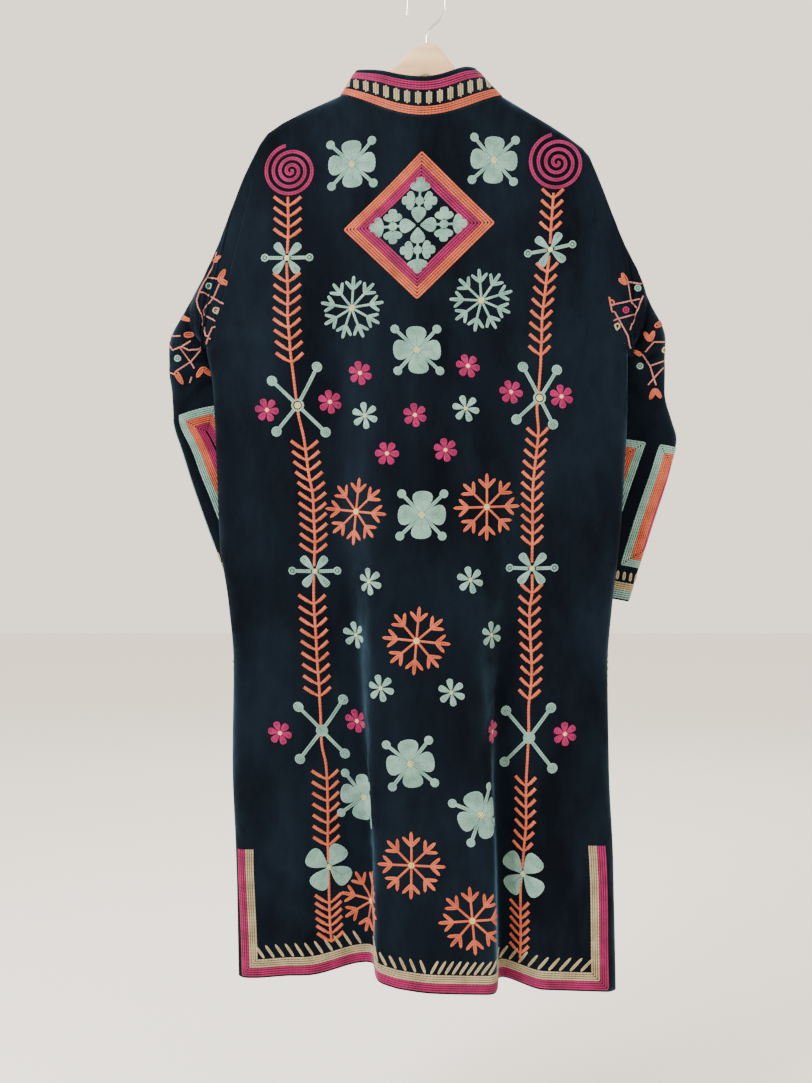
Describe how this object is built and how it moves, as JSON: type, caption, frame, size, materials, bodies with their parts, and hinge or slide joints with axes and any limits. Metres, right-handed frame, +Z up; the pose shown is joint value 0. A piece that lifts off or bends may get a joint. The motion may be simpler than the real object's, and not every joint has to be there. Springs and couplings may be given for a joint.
{
  "type": "chapan robe on a wooden hanger",
  "caption": "Long straight velvet robe, open down the front, with tapered sleeves, side vents and a standing neckband, hung flat on a shaped wooden hanger with a wire hook.",
  "frame": {"origin": "inside top of the hanger's hook, where a rail carries it", "axes": "+Z up; +X to the right of someone who looks at the robe's back; +Y away from them, towards its front"},
  "size_m": [0.6942, 0.1199, 1.3525],
  "materials": {
    "velvet": "dark navy cotton velvet pile",
    "wood": "light beech, clear satin varnish",
    "steel": "bright plated wire"
  },
  "bodies": {
    "root": {"back": "velvet", "front_left": "velvet", "front_right": "velvet", "sleeve_left": "velvet", "sleeve_right": "velvet", "collar": "velvet", "hanger": "wood", "hook": "steel"}
  },
  "joints": []
}
